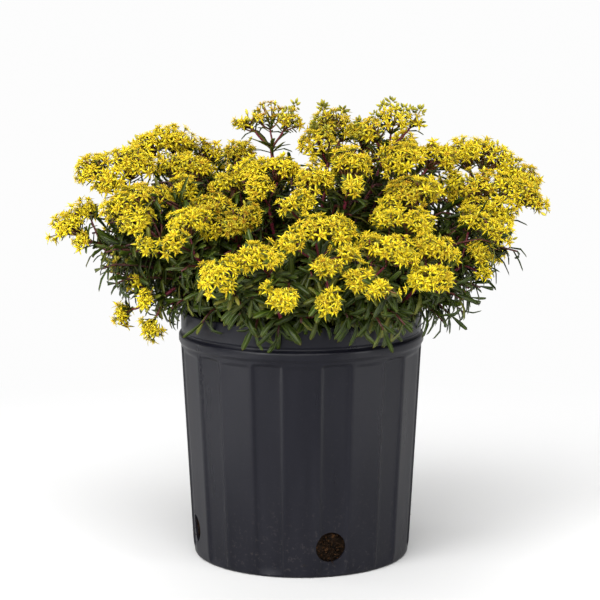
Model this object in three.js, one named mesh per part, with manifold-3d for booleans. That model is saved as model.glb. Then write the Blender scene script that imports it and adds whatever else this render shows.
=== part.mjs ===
// Potted lemon sparkle sedum: a flowering clump of stonecrop in a black nursery pot.
// Millimetres, +Z up. The origin is the middle of the pot's flat underside, and -Y is its front.
import * as THREE from 'three';
import { mergeVertices } from 'three/addons/utils/BufferGeometryUtils.js';
import Module from 'manifold-3d';

const wasm = await Module();
wasm.setup();

// The pot
const POT_HEIGHT = 171;
const FOOT_RADIUS = 72;
const HEEL_RADIUS = 74.2;
const HEEL_Z = 1.6;
const WALL_LOW_RADIUS = 75.2;
const WALL_LOW_Z = 8;
const WALL_TOP_RADIUS = 82.7;
const WALL_THICKNESS = 1.5;
const FLOOR_THICKNESS = 2.3;
const NECK_RADIUS = 82.6;
const NECK_Z = 145.5;
const BEAD_RADIUS = 84;
const BEAD_LOW_Z = 147.5;
const BEAD_TOP_Z = 155.3;
const BEAD_ROUNDING = 2.2;
const BEAD_EDGE_INSET = 0.4;
const BEAD_EDGE_RISE = 0.6;
const GROOVE_RADIUS = 81.6;
const RIM_BAND_RADIUS = 82.4;
const RIM_BAND_LOW_Z = 157.8;
const INNER_GROOVE_RISE = 1;
const INNER_FOOT_INSET = 0.4;

// Its flutes: eleven shallow recessed panels with flat ribs between them.
// Angles run from the front towards +X.
const FLUTES = 11;
const FLUTE_PITCH = 360 / FLUTES;
const FLUTE_PHASE = 16.6;
const FLUTE_DEPTH = 1.5;
const FLUTE_FLAT_HALF = 5.9;
const FLUTE_EDGE_HALF = 7.6;
const RIB_FLATNESS = 0.9;
const FLUTE_LOW_Z = 12;
const FLUTE_SHOULDER_Z = 143.5;
const FLUTE_TOP_Z = 145;
const WALL_STATIONS = [WALL_LOW_Z, FLUTE_LOW_Z, FLUTE_SHOULDER_Z, FLUTE_TOP_Z];

// Its drain holes, in the wall just above the floor
const DRAIN_RADIUS = 10.3;
const DRAIN_Z = 20.8;
const DRAIN_SIDES = 20;
const DRILL_LENGTH = 16;
const DRAIN_ANGLES = [15.2, 105.2, 195.2, 285.2];

// What the pot holds
const CLEARANCE = 0.3;
const MIX_SHRINKAGE = 1.1;
const MIX_FOOT_RADIUS = 70.4;
const SOIL_RADIUS = 78.6;
const SOIL_Z = 150;
const CROWN_RADIUS = 48;
const CROWN_TOP_Z = 157;
const CROWN_BULGE = 1;
const CROWN_BULGE_Z = 153;
const CROWN_TOP_INSET = 2;
const CROWN_SIDES = 22;
const STEM_SPREAD = 43;

// The plant
const STEM_RADIUS = 1.5;
const STEM_JOINTS = 6;
const LEAFY_JOINTS = [2, 3, 4, 5];
const STEM_SIDES = 5;
const STEM_EASE = 0.36;
const FULL_LEAN = 66;
const LEAN_DROP = 26;
const ARCH_RISE = 0.34;
const RIM_HEADROOM = 14;
const HEADROOM_SLOPE = 0.42;
const STEEPEST_ARCH = 0.62;
const FIRST_FORK = 0.4;
const FORK_STEP = 0.12;
const BRANCH_RADIUS = 0.9;
const HUB_RADIUS = 1.3;
const HUB_STUB = 5;
const HUB_DEPTH = 14;
const HUB_DEPTH_PER_CLUSTER = 2;
const HEAD_LIFT = 0.25;
const HANGING_SLOPE = -0.6;
const DROOP_BELOW_Z = 195;
const DROOP_RANGE = 20;
const DOME_HEIGHT = 0.34;
const DOME_UNDERSIDE = 0.6;
const DOME_SHOULDER = 0.62;
const DOME_SHOULDER_HEIGHT = 0.72;
const LEAF_LENGTH = 25;
const LEAF_WIDTH = 5;
const LEAF_THICKNESS = 1.7;
const LEAF_CLEARANCE = 0.5;
const LEAF_WIDEST_SHIFT = 0.12;
const LEAF_LEAN = 0.55;
const LEAF_LIFT = 0.1;
const CANOPY_HEART = new THREE.Vector3(0, 0, 128);
const GOLDEN_ANGLE = THREE.MathUtils.degToRad(137.5);

// Each shoot is a stem, forked where it carries two or more heads of flowers.
// A head is a list of its domed clusters, each one as [x, y, z of its middle, width].
const SHOOTS = {
  far_left: [
    [[-158, -5, 228, 24], [-146, 5, 237, 16], [-148, -14, 219, 12]],
    [[-143, 8, 265, 25], [-128, 0, 258, 24], [-116, 4, 268, 30]],
  ],
  left: [
    [
      [-122, -30, 244, 21], [-106, -28, 250, 23], [-94, -27, 249, 17],
      [-109, -44, 235, 21], [-101, -60, 221, 12],
    ],
    [[-104, -50, 184, 13], [-120, -32, 172, 16], [-100, -45, 164, 17]],
    [[-123, -26, 202, 17], [-111, -40, 195, 13]],
  ],
  back_left: [
    [[-111, 48, 276, 24], [-95, 52, 280, 25], [-82, 52, 275, 20], [-67, 66, 268, 23]],
    [[-129, 64, 227, 26], [-112, 92, 231, 28], [-119, 48, 209, 20], [-102, 104, 204, 26]],
  ],
  upper_left: [
    [[-89, 14, 266, 21], [-72, 8, 265, 25], [-78, -17, 254, 19]],
    [
      [-50, -8, 255, 23], [-62, -36, 243, 25], [-43, -52, 235, 19], [-33, -48, 242, 14],
      [-60, -44, 231, 17],
    ],
  ],
  front_left: [
    [[-75, -60, 237, 24], [-82, -78, 227, 16]],
    [[-56, -116, 211, 19], [-43, -107, 215, 17], [-45, -118, 203, 8]],
  ],
  middle_left: [
    [[-30, -100, 221, 20], [-17, -108, 220, 12]],
  ],
  front: [
    [[-11, -120, 195, 19], [-22, -113, 202, 8]],
    [[16, -112, 215, 16], [17, -122, 195, 15]],
  ],
  front_middle: [
    [[8, -92, 237, 21], [24, -90, 235, 20], [-8, -96, 229, 15], [29, -100, 223, 13]],
  ],
  heart_left: [
    [[-34, -16, 266, 23], [-12, -14, 268, 23], [-29, -30, 256, 17]],
    [[10, -34, 262, 24], [2, -54, 251, 18], [-9, -60, 248, 10]],
  ],
  top_left: [
    [[-37, 6, 297, 18], [-22, 18, 300, 21], [-8, 4, 298, 18]],
    [[-41, 40, 273, 21], [-50, 53, 272, 15]],
  ],
  top: [
    [[20, 8, 296, 23], [11, -8, 284, 23], [29, 11, 289, 14]],
    [[33, -20, 270, 28], [33, -44, 260, 12]],
  ],
  top_right: [
    [[64, 10, 298, 21], [78, 16, 296, 12], [46, 3, 291, 22]],
    [[68, -8, 273, 29], [94, 4, 273, 25]],
  ],
  middle_right: [
    [[69, -36, 254, 21], [84, -30, 255, 20], [58, -46, 242, 20]],
    [[77, -60, 236, 22], [56, -62, 238, 14]],
  ],
  front_right: [
    [[47, -94, 226, 22], [61, -98, 223, 23], [35, -114, 207, 17], [49, -120, 203, 14]],
  ],
  right: [
    [[129, -38, 229, 22], [118, -46, 215, 16], [121, -48, 203, 12], [113, -32, 234, 16]],
    [[84, -81, 224, 22], [95, -74, 218, 14], [77, -100, 205, 17], [91, -93, 205, 15]],
  ],
  far_right: [
    [
      [127, 12, 252, 25], [142, 4, 249, 23], [157, -2, 246, 20], [113, 6, 245, 23],
      [104, 2, 256, 16], [120, -8, 238, 18], [136, -10, 237, 18],
    ],
    [[113, 48, 271, 27], [131, 52, 269, 28], [146, 46, 257, 25], [159, 40, 253, 18]],
  ],
  back_right: [
    [[104, 90, 238, 28], [131, 78, 230, 26], [108, 106, 208, 24], [136, 64, 202, 22]],
    [[74, 108, 240, 28], [46, 120, 242, 28], [82, 126, 208, 24], [52, 134, 210, 24]],
  ],
  back: [
    [[-20, 122, 238, 28], [10, 126, 238, 28], [-16, 138, 206, 24], [16, 138, 204, 24]],
    [[-52, 118, 236, 28], [-80, 106, 238, 26], [-54, 132, 206, 24], [-78, 124, 206, 22]],
  ],
  back_heart: [
    [[-44, 84, 256, 28], [-12, 86, 252, 28], [-30, 102, 244, 16]],
    [[24, 84, 266, 28], [56, 76, 266, 28], [38, 98, 254, 18]],
  ],
  top_back: [
    [[16, 44, 288, 24], [44, 42, 286, 24], [74, 46, 276, 22]],
  ],
};

const material = (color, roughness) =>
  new THREE.MeshStandardMaterial({ color, roughness, metalness: 0 });
const POT_PLASTIC = material(0x2b2b2d, 0.45);
const SOIL = material(0x33261b, 0.95);
const WOODY_CROWN = material(0x5a4030, 0.9);
const LEAFY_STEM = material(0x4f5a24, 0.6);
const FLOWERS = material(0xdcc02c, 0.7);

const radians = THREE.MathUtils.degToRad;

// A closed geometry as a solid, with the faces left out that a pole pinches to a line.
function solid(geometry) {
  const bare = new THREE.BufferGeometry();
  bare.setAttribute('position', geometry.getAttribute('position'));
  bare.setIndex(geometry.index);
  const merged = mergeVertices(bare, 1e-3);
  const corners = merged.index.array;
  const kept = [];
  for (let i = 0; i < corners.length; i += 3) {
    const [a, b, c] = corners.slice(i, i + 3);
    if (a !== b && b !== c && c !== a) kept.push(a, b, c);
  }
  return new wasm.Manifold(new wasm.Mesh({
    numProp: 3,
    vertProperties: merged.attributes.position.array,
    triVerts: new Uint32Array(kept),
  }));
}

function meshOf(name, made, finish) {
  const { vertProperties, triVerts } = made.getMesh();
  const geometry = new THREE.BufferGeometry();
  geometry.setAttribute('position', new THREE.BufferAttribute(vertProperties, 3));
  geometry.setIndex(new THREE.BufferAttribute(triVerts, 1));
  geometry.computeVertexNormals();
  const mesh = new THREE.Mesh(geometry, finish);
  mesh.name = name;
  return mesh;
}

const union = (solids) => solids.reduce((all, next) => all.add(next));

// Pot

const wallRadius = (z) => WALL_LOW_RADIUS
  + (WALL_TOP_RADIUS - WALL_LOW_RADIUS) * (z - WALL_LOW_Z) / (BEAD_LOW_Z - WALL_LOW_Z);

// How far the wall sinks below its round shape, by the angle from the middle of a flute.
function wallSink(fromMiddle, z) {
  const top = fromMiddle < 1 ? FLUTE_TOP_Z : FLUTE_SHOULDER_Z;
  if (z < FLUTE_LOW_Z || z > top) return 0;
  if (fromMiddle <= FLUTE_FLAT_HALF) return FLUTE_DEPTH;
  return fromMiddle > FLUTE_EDGE_HALF ? RIB_FLATNESS : 0;
}

// A turned profile of [radius, z] whose wall is pressed in at the flutes.
function flutedLathe(profile) {
  const cornerAngles = [
    -FLUTE_EDGE_HALF, -FLUTE_FLAT_HALF, 0, FLUTE_FLAT_HALF, FLUTE_EDGE_HALF, FLUTE_PITCH / 2,
  ];
  const points = profile.map(([radius, z]) => new THREE.Vector2(radius, z));
  const lathe = new THREE.LatheGeometry(points, FLUTES * cornerAngles.length);
  const position = lathe.getAttribute('position');
  for (let k = 0; k < position.count; k += 1) {
    const column = Math.floor(k / profile.length) % (FLUTES * cornerAngles.length);
    const [radius, z] = profile[k % profile.length];
    const corner = cornerAngles[column % cornerAngles.length];
    const flute = Math.floor(column / cornerAngles.length);
    const angle = radians(FLUTE_PHASE + FLUTE_PITCH * flute + corner);
    const pressed = radius > FOOT_RADIUS ? radius - wallSink(Math.abs(corner), z) : radius;
    position.setXYZ(k, pressed * Math.sin(angle), -pressed * Math.cos(angle), z);
  }
  return lathe;
}

function nurseryPot() {
  const outside = WALL_STATIONS.map((z) => [wallRadius(z), z]);
  const inside = outside.map(([radius, z]) => [radius - WALL_THICKNESS, z]).reverse();
  const walls = solid(flutedLathe([
    [0, 0],
    [FOOT_RADIUS, 0],
    [HEEL_RADIUS, HEEL_Z],
    ...outside,
    [NECK_RADIUS, NECK_Z],
    [BEAD_RADIUS - BEAD_EDGE_INSET, BEAD_LOW_Z + BEAD_EDGE_RISE],
    [BEAD_RADIUS, BEAD_TOP_Z - BEAD_ROUNDING],
    [GROOVE_RADIUS, BEAD_TOP_Z],
    [RIM_BAND_RADIUS, RIM_BAND_LOW_Z],
    [RIM_BAND_RADIUS, POT_HEIGHT],
    [RIM_BAND_RADIUS - WALL_THICKNESS, POT_HEIGHT],
    [GROOVE_RADIUS - WALL_THICKNESS, BEAD_TOP_Z + INNER_GROOVE_RISE],
    [NECK_RADIUS - WALL_THICKNESS, NECK_Z],
    ...inside,
    [FOOT_RADIUS - INNER_FOOT_INSET, FLOOR_THICKNESS],
    [0, FLOOR_THICKNESS],
  ]));
  const holes = DRAIN_ANGLES.map((angle) => {
    const drill = new THREE.CylinderGeometry(DRAIN_RADIUS, DRAIN_RADIUS, DRILL_LENGTH, DRAIN_SIDES);
    drill.translate(0, -WALL_LOW_RADIUS, 0);
    drill.rotateZ(radians(angle));
    drill.translate(0, 0, DRAIN_Z);
    return solid(drill);
  });
  return walls.subtract(union(holes));
}

// The moist bark and peat mix, moulded by the pot's inside.
function pottingMix() {
  const gap = WALL_THICKNESS + MIX_SHRINKAGE;
  const floor = FLOOR_THICKNESS + CLEARANCE;
  return solid(flutedLathe([
    [0, floor],
    [MIX_FOOT_RADIUS, floor],
    ...WALL_STATIONS.map((z) => [wallRadius(z) - gap, z]),
    [SOIL_RADIUS, SOIL_Z],
    [0, SOIL_Z],
  ]));
}

// The knot of old woody stem bases that every shoot grows from.
function rootCrown() {
  const profile = [
    [0, SOIL_Z + CLEARANCE],
    [CROWN_RADIUS, SOIL_Z + CLEARANCE],
    [CROWN_RADIUS + CROWN_BULGE, CROWN_BULGE_Z],
    [CROWN_RADIUS - CROWN_TOP_INSET, CROWN_TOP_Z],
    [0, CROWN_TOP_Z],
  ].map(([radius, z]) => new THREE.Vector2(radius, z));
  const lathe = new THREE.LatheGeometry(profile, CROWN_SIDES);
  lathe.rotateX(Math.PI / 2);
  return solid(lathe);
}

// Stems

// A rod along a curve.
function rod(curve, radius, steps) {
  const section = new THREE.Shape();
  for (let i = 0; i < STEM_SIDES; i += 1) {
    const angle = (2 * Math.PI * i) / STEM_SIDES;
    const point = [radius * Math.cos(angle), radius * Math.sin(angle)];
    if (i === 0) section.moveTo(...point);
    else section.lineTo(...point);
  }
  section.closePath();
  return solid(new THREE.ExtrudeGeometry(section, { steps, extrudePath: curve }));
}

// Where a head's branches spread, and the way its stem points there.
// A low head hangs over the rim, so its stem points down there.
function hubOf(domes) {
  const middle = domes
    .reduce((sum, [x, y, z]) => sum.add(new THREE.Vector3(x, y, z)), new THREE.Vector3())
    .divideScalar(domes.length);
  const facing = middle.clone().sub(CANOPY_HEART).normalize();
  const droop = THREE.MathUtils.clamp((DROOP_BELOW_Z - middle.z) / DROOP_RANGE, 0, 1);
  const upright = facing.clone().setZ(facing.z + HEAD_LIFT).normalize();
  const hanging = facing.clone().setZ(HANGING_SLOPE).normalize();
  const heading = upright.lerp(hanging, droop).normalize();
  const reach = HUB_DEPTH + HUB_DEPTH_PER_CLUSTER * domes.length;
  const point = middle.clone().addScaledVector(heading, -reach);
  return { point, heading };
}

function stemEnd(hub) {
  return hub.point.clone().addScaledVector(hub.heading, -HUB_STUB - CLEARANCE);
}

// A stem rises from the crown, then leans out to its head.
function mainStem(hub) {
  const end = stemEnd(hub);
  const lean = Math.atan2(Math.hypot(end.x, end.y), end.z - CANOPY_HEART.z + LEAN_DROP);
  const side = new THREE.Vector3(end.x, end.y, 0).normalize();
  const foot = side.multiplyScalar(STEM_SPREAD * Math.min(1, lean / radians(FULL_LEAN)));
  foot.z = CROWN_TOP_Z + CLEARANCE;
  const run = foot.distanceTo(end);
  const overRim = POT_HEIGHT + RIM_HEADROOM - end.z + HEADROOM_SLOPE * run;
  const arch = Math.min(Math.max(ARCH_RISE * run, overRim), STEEPEST_ARCH * run);
  const first = foot.clone().setZ(foot.z + arch);
  const second = end.clone().addScaledVector(hub.heading, -STEM_EASE * run);
  return new THREE.CubicBezierCurve3(foot, first, second, end);
}

// A side stem leaves the main one part of the way up.
function sideStem(main, hub, at) {
  const start = main.getPoint(at);
  const end = stemEnd(hub);
  const run = start.distanceTo(end);
  const first = start.clone().addScaledVector(main.getTangent(at), STEM_EASE * run);
  const second = end.clone().addScaledVector(hub.heading, -STEM_EASE * run);
  return new THREE.CubicBezierCurve3(start, first, second, end);
}

// Heads of flowers

// A shallow dome of blossom on its branch, which grows out of the hub.
function clusterOnBranch([x, y, z, width], hub) {
  const middle = new THREE.Vector3(x, y, z);
  const fromHub = middle.clone().sub(hub.point);
  const half = width / 2;
  const height = width * DOME_HEIGHT;
  const profile = [
    [0, -fromHub.length()],
    [BRANCH_RADIUS, -fromHub.length()],
    [BRANCH_RADIUS, -DOME_UNDERSIDE * height],
    [half, 0],
    [DOME_SHOULDER * half, DOME_SHOULDER_HEIGHT * height],
    [0, height],
  ].map(([radius, along]) => new THREE.Vector2(radius, along));
  const geometry = new THREE.LatheGeometry(profile, STEM_SIDES);
  const up = new THREE.Vector3(0, 1, 0);
  geometry.applyQuaternion(new THREE.Quaternion().setFromUnitVectors(up, fromHub.normalize()));
  geometry.translate(x, y, z);
  return solid(geometry);
}

function flowerHead(domes, hub) {
  const stubStart = hub.point.clone().addScaledVector(hub.heading, -HUB_STUB);
  const stubEnd = hub.point.clone().addScaledVector(hub.heading, 1);
  const stub = rod(new THREE.LineCurve3(stubStart, stubEnd), HUB_RADIUS, 1);
  return union([stub, ...domes.map((dome) => clusterOnBranch(dome, hub))]);
}

// Leaves

// A narrow leaf, widest past its middle, rooted at the origin and lying along +X.
function leafGeometry() {
  const leaf = new THREE.OctahedronGeometry(1);
  leaf.scale(LEAF_LENGTH / 2, LEAF_WIDTH / 2, LEAF_THICKNESS / 2);
  const position = leaf.getAttribute('position');
  for (let k = 0; k < position.count; k += 1) {
    const atTip = Math.abs(position.getX(k)) > 1;
    const shift = atTip ? 0 : LEAF_WIDEST_SHIFT * LEAF_LENGTH;
    position.setX(k, position.getX(k) + LEAF_LENGTH / 2 + shift);
  }
  return leaf;
}

// A leaf that stands off its stem at a joint, turned round the stem.
function leafOn(curve, joint, turn) {
  const at = joint / STEM_JOINTS;
  const along = curve.getTangentAt(at);
  const across = new THREE.Vector3(Math.cos(turn), Math.sin(turn), LEAF_LIFT);
  across.addScaledVector(along, -across.dot(along)).normalize();
  const pointing = across.clone().addScaledVector(along, LEAF_LEAN).normalize();
  const flat = new THREE.Vector3().crossVectors(pointing, along).normalize();
  const up = new THREE.Vector3().crossVectors(pointing, flat).normalize();
  const leaf = leafGeometry();
  leaf.applyMatrix4(new THREE.Matrix4().makeBasis(pointing, flat, up));
  leaf.translate(...curve.getPointAt(at).toArray());
  return solid(leaf);
}

// Boxes, so that only near pieces are measured against each other
function boxOf(made) {
  const { min, max } = made.boundingBox();
  return new THREE.Box3(new THREE.Vector3(...min), new THREE.Vector3(...max));
}

function isClear(made, others) {
  const near = boxOf(made).expandByScalar(LEAF_CLEARANCE);
  return others.every((other) => !near.intersectsBox(other.box)
    || made.minGap(other.made, LEAF_CLEARANCE) >= LEAF_CLEARANCE);
}

const group = new THREE.Group();
const pot = nurseryPot();
const mix = pottingMix();
const crown = rootCrown();
group.add(meshOf('nursery_pot', pot, POT_PLASTIC));
group.add(meshOf('potting_mix', mix, SOIL));
group.add(meshOf('root_crown', crown, WOODY_CROWN));

const placed = [pot, mix, crown].map((made) => ({ made, box: boxOf(made) }));
const shoots = [];
for (const [name, heads] of Object.entries(SHOOTS)) {
  const hubs = heads.map(hubOf);
  const main = mainStem(hubs[0]);
  const forks = hubs.slice(1).map((hub, i) => sideStem(main, hub, FIRST_FORK - FORK_STEP * i));
  const curves = [main, ...forks];
  const stems = curves.map((curve) => rod(curve, STEM_RADIUS, STEM_JOINTS));
  const shoot = { name, curves, made: union(stems) };
  shoot.box = boxOf(shoot.made);
  shoots.push(shoot);
  placed.push(shoot);
  heads.forEach((domes, i) => {
    const made = flowerHead(domes, hubs[i]);
    const suffix = heads.length > 1 ? `_${i + 1}` : '';
    group.add(meshOf(`flower_head_${name}${suffix}`, made, FLOWERS));
    placed.push({ made, box: boxOf(made) });
  });
}

// Leaves follow the golden angle up each stem and grow only where they have room.
shoots.forEach((shoot, k) => {
  const others = placed.filter((other) => other !== shoot);
  shoot.curves.forEach((curve, c) => {
    LEAFY_JOINTS.forEach((joint, i) => {
      const leaf = leafOn(curve, joint, GOLDEN_ANGLE * (i + 3 * c + 2 * k));
      if (isClear(leaf, others)) shoot.made = shoot.made.add(leaf);
    });
  });
  shoot.box = boxOf(shoot.made);
  group.add(meshOf(`shoot_${shoot.name}`, shoot.made, LEAFY_STEM));
});

export default group;
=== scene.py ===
"""Potted lemon sparkle sedum: the looks of a flowering clump of stonecrop in a black nursery pot."""
import math

import bpy
import numpy as np
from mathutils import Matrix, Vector, noise


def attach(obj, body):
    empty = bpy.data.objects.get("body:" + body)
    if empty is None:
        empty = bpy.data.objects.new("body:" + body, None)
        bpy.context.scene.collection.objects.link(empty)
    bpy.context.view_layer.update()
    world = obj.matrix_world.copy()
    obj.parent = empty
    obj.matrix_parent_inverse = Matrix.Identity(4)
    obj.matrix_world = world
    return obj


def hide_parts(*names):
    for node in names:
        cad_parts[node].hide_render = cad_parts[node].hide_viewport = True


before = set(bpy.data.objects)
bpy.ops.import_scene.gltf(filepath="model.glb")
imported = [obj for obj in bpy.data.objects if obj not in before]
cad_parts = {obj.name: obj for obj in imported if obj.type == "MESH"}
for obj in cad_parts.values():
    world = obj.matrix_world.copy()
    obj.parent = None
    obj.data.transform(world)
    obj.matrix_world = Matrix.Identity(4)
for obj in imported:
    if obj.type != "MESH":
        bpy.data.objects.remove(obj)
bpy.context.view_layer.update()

# Lengths are millimetres until a mesh is made.
MM = 0.001
UP = np.array([0.0, 0.0, 1.0])
LEVEL = np.array([1, 1, 0])
GOLDEN_ANGLE = math.radians(137.5)

# The pot
POT_HEIGHT = 171
FOOT_RADIUS = 72
FOOT_RING_WIDTH = 10
FOOT_RING_SLOPE = 4
UNDERSIDE_RISE = 0.8
HEEL_ROUNDING = 2.6
WALL_LOW_RADIUS = 75.2
WALL_LOW_Z = 8
WALL_TOP_RADIUS = 82.7
WALL_THICKNESS = 1.5
FLOOR_THICKNESS = 2.3
BEAD_RADIUS = 84
BEAD_LOW_Z = 147.5
BEAD_LOW_ROUNDING = 3.0
BEAD_TOP_Z = 155.3
BEAD_TOP_ROUNDING = 2.0
GROOVE_RADIUS = 81.6
GROOVE_ROUNDING = 1.0
RIM_BAND_RADIUS = 82.4
RIM_BAND_ROUNDING = 0.8
LIP_ROUNDING = 1.0

# Its flutes, with their angles in degrees from the front towards +X
FLUTES = 11
FLUTE_PITCH = 360 / FLUTES
FLUTE_PHASE = 16.6
FLUTE_DEPTH = 1.5
FLUTE_FLAT_HALF = 5.8
FLUTE_EDGE_HALF = 7.7
FLUTE_LOW_Z = 4
FLUTE_SHOULDER_Z = 144.8
FLUTE_TOP_Z = 146.1

# Its drain holes
DRAIN_RADIUS = 10.3
DRAIN_Z = 20.8
DRAIN_ANGLES = (15.2, 105.2, 195.2, 285.2)
DRILL_INWARD = 12
DRILL_OUTWARD = 8
DRILL_SIDES = 48
SHARP_EDGE = math.radians(32)

# What the pot holds
MIX_SHRINKAGE = 1.1
SOIL_Z = 150
CRUMB_SIZE = 5.0
DRAIN_CRUMB_SIZE = 2.6
FIBRE_REACH = 2.4
FIBRE_RADIUS = 0.16
CROWN_RADIUS = 48
CROWN_TOP_Z = 157
CLEARANCE = 0.3

# The stems
STEM_SPREAD = 43
STEM_EASE = 0.36
FULL_LEAN = math.radians(66)
LEAN_DROP = 26
ARCH_RISE = 0.34
RIM_HEADROOM = 14
HEADROOM_SLOPE = 0.42
STEEPEST_ARCH = 0.62
FIRST_FORK = 0.4
FORK_STEP = 0.12
HUB_STUB = 5
HUB_DEPTH = 14
HUB_DEPTH_PER_CLUSTER = 2
HEAD_LIFT = 0.25
HANGING_SLOPE = -0.6
DROOP_BELOW_Z = 195
DROOP_RANGE = 20
CANOPY_HEART = np.array([0.0, 0.0, 128.0])
STEM_RADII = (1.6, 1.15)
STEM_NECK_RADII = (1.2, 0.9)
LOW_STEM_RADII = (1.2, 0.65)
BRANCH_RADII = (0.85, 0.65)
FORK_RADIUS = 0.6
SPRIG_RADIUS = 0.5
STALK_RADIUS = 0.42

# The leaves
LEAF_LENGTH = (16, 25)
LEAF_BREADTH = (0.155, 0.21)
LEAF_THICKNESS = (1.0, 1.5)
LEAF_RISE = (22, 58)
LEAF_CURL = (20, 105)
LEAF_SPACING = 2.4
LOW_LEAF_SPACING = 2.8
HUB_BRACT_LENGTH = (12, 20)
BRANCH_BRACT_LENGTH = (8, 15)
FORK_BRACT_LENGTH = (4, 8)
BRACT_BREADTH = (0.2, 0.27)
BRACT_THICKNESS = 1.1

# The flowers
PETALS = 5
PETAL_LENGTH = (4.8, 5.8)
PETAL_WIDTH = (1.7, 2.1)
PETAL_THICKNESS = 0.5
STAMENS_EACH = 10
STAMEN_LENGTH = (2.3, 3.1)
STAMEN_LIFT = (15, 42)
STAMEN_WIDTH = 0.45
CARPELS = 5
CARPEL_LENGTH = 2.1
CARPEL_LIFT = math.radians(58)
CARPEL_CURL = -0.45
CARPEL_WIDTH = 0.85
CALYX_DEPTH = 1.5
CALYX_WIDTH = 3.1
BUD_LENGTH = 4.2
BUD_WIDTH = 2.1
BUD_SEAT = 1.8
BUDS_IN_SPRIG = 8
SPRIG_REACH = 3.2

# How flowers are set out over a head
SKIN_TRIES = 260
FLOWER_PITCH = 4.35
BACK_FLOWER_PITCH = 5.15
BACK_BEYOND_Y = 60
SHADED_GAP = 2.7
SHADED_PITCH = 5.0
SHADED_DEPTH = (3.0, 4.6)
SHADED_BUD_SHARE = 0.3
HEAD_UPRIGHT = 0.45
DOME_DEPTH = 0.76
DOME_WRAP = 1.36
MERGE_POWER = 3
MERGE_REACH = 1.8
PETAL_OVERHANG = 1.4
LUMP_SIZE = 11
LUMP_HEIGHT = 4.6

# The studio floor
FLOOR_RADIUS = 14000
FLOOR_SIDES = 64

# Each shoot is a stem, forked where it carries two or more heads of flowers.
# A head is a list of its domed clusters, each one as [x, y, z of its middle, width].
SHOOTS = {
    "far_left": [
        [[-158, -5, 228, 24], [-146, 5, 237, 16], [-148, -14, 219, 12]],
        [[-143, 8, 265, 25], [-128, 0, 258, 24], [-116, 4, 268, 30]],
    ],
    "left": [
        [
            [-122, -30, 244, 21], [-106, -28, 250, 23], [-94, -27, 249, 17],
            [-109, -44, 235, 21], [-101, -60, 221, 12],
        ],
        [[-104, -50, 184, 13], [-120, -32, 172, 16], [-100, -45, 164, 17]],
        [[-123, -26, 202, 17], [-111, -40, 195, 13]],
    ],
    "back_left": [
        [[-111, 48, 276, 24], [-95, 52, 280, 25], [-82, 52, 275, 20], [-67, 66, 268, 23]],
        [[-129, 64, 227, 26], [-112, 92, 231, 28], [-119, 48, 209, 20], [-102, 104, 204, 26]],
    ],
    "upper_left": [
        [[-89, 14, 266, 21], [-72, 8, 265, 25], [-78, -17, 254, 19]],
        [
            [-50, -8, 255, 23], [-62, -36, 243, 25], [-43, -52, 235, 19], [-33, -48, 242, 14],
            [-60, -44, 231, 17],
        ],
    ],
    "front_left": [
        [[-75, -60, 237, 24], [-82, -78, 227, 16]],
        [[-56, -116, 211, 19], [-43, -107, 215, 17], [-45, -118, 203, 8]],
    ],
    "middle_left": [
        [[-30, -100, 221, 20], [-17, -108, 220, 12]],
    ],
    "front": [
        [[-11, -120, 195, 19], [-22, -113, 202, 8]],
        [[16, -112, 215, 16], [17, -122, 195, 15]],
    ],
    "front_middle": [
        [[8, -92, 237, 21], [24, -90, 235, 20], [-8, -96, 229, 15], [29, -100, 223, 13]],
    ],
    "heart_left": [
        [[-34, -16, 266, 23], [-12, -14, 268, 23], [-29, -30, 256, 17]],
        [[10, -34, 262, 24], [2, -54, 251, 18], [-9, -60, 248, 10]],
    ],
    "top_left": [
        [[-37, 6, 297, 18], [-22, 18, 300, 21], [-8, 4, 298, 18]],
        [[-41, 40, 273, 21], [-50, 53, 272, 15]],
    ],
    "top": [
        [[20, 8, 296, 23], [11, -8, 284, 23], [29, 11, 289, 14]],
        [[33, -20, 270, 28], [33, -44, 260, 12]],
    ],
    "top_right": [
        [[64, 10, 298, 21], [78, 16, 296, 12], [46, 3, 291, 22]],
        [[68, -8, 273, 29], [94, 4, 273, 25]],
    ],
    "middle_right": [
        [[69, -36, 254, 21], [84, -30, 255, 20], [58, -46, 242, 20]],
        [[77, -60, 236, 22], [56, -62, 238, 14]],
    ],
    "front_right": [
        [[47, -94, 226, 22], [61, -98, 223, 23], [35, -114, 207, 17], [49, -120, 203, 14]],
    ],
    "right": [
        [[129, -38, 229, 22], [118, -46, 215, 16], [121, -48, 203, 12], [113, -32, 234, 16]],
        [[84, -81, 224, 22], [95, -74, 218, 14], [77, -100, 205, 17], [91, -93, 205, 15]],
    ],
    "far_right": [
        [
            [127, 12, 252, 25], [142, 4, 249, 23], [157, -2, 246, 20], [113, 6, 245, 23],
            [104, 2, 256, 16], [120, -8, 238, 18], [136, -10, 237, 18],
        ],
        [[113, 48, 271, 27], [131, 52, 269, 28], [146, 46, 257, 25], [159, 40, 253, 18]],
    ],
    "back_right": [
        [[104, 90, 238, 28], [131, 78, 230, 26], [108, 106, 208, 24], [136, 64, 202, 22]],
        [[74, 108, 240, 28], [46, 120, 242, 28], [82, 126, 208, 24], [52, 134, 210, 24]],
    ],
    "back": [
        [[-20, 122, 238, 28], [10, 126, 238, 28], [-16, 138, 206, 24], [16, 138, 204, 24]],
        [[-52, 118, 236, 28], [-80, 106, 238, 26], [-54, 132, 206, 24], [-78, 124, 206, 22]],
    ],
    "back_heart": [
        [[-44, 84, 256, 28], [-12, 86, 252, 28], [-30, 102, 244, 16]],
        [[24, 84, 266, 28], [56, 76, 266, 28], [38, 98, 254, 18]],
    ],
    "top_back": [
        [[16, 44, 288, 24], [44, 42, 286, 24], [74, 46, 276, 22]],
    ],
}


def round_section(sides):
    turns = [2 * math.pi * k / sides for k in range(sides)]
    return tuple((math.cos(turn), math.sin(turn)) for turn in turns)


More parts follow.
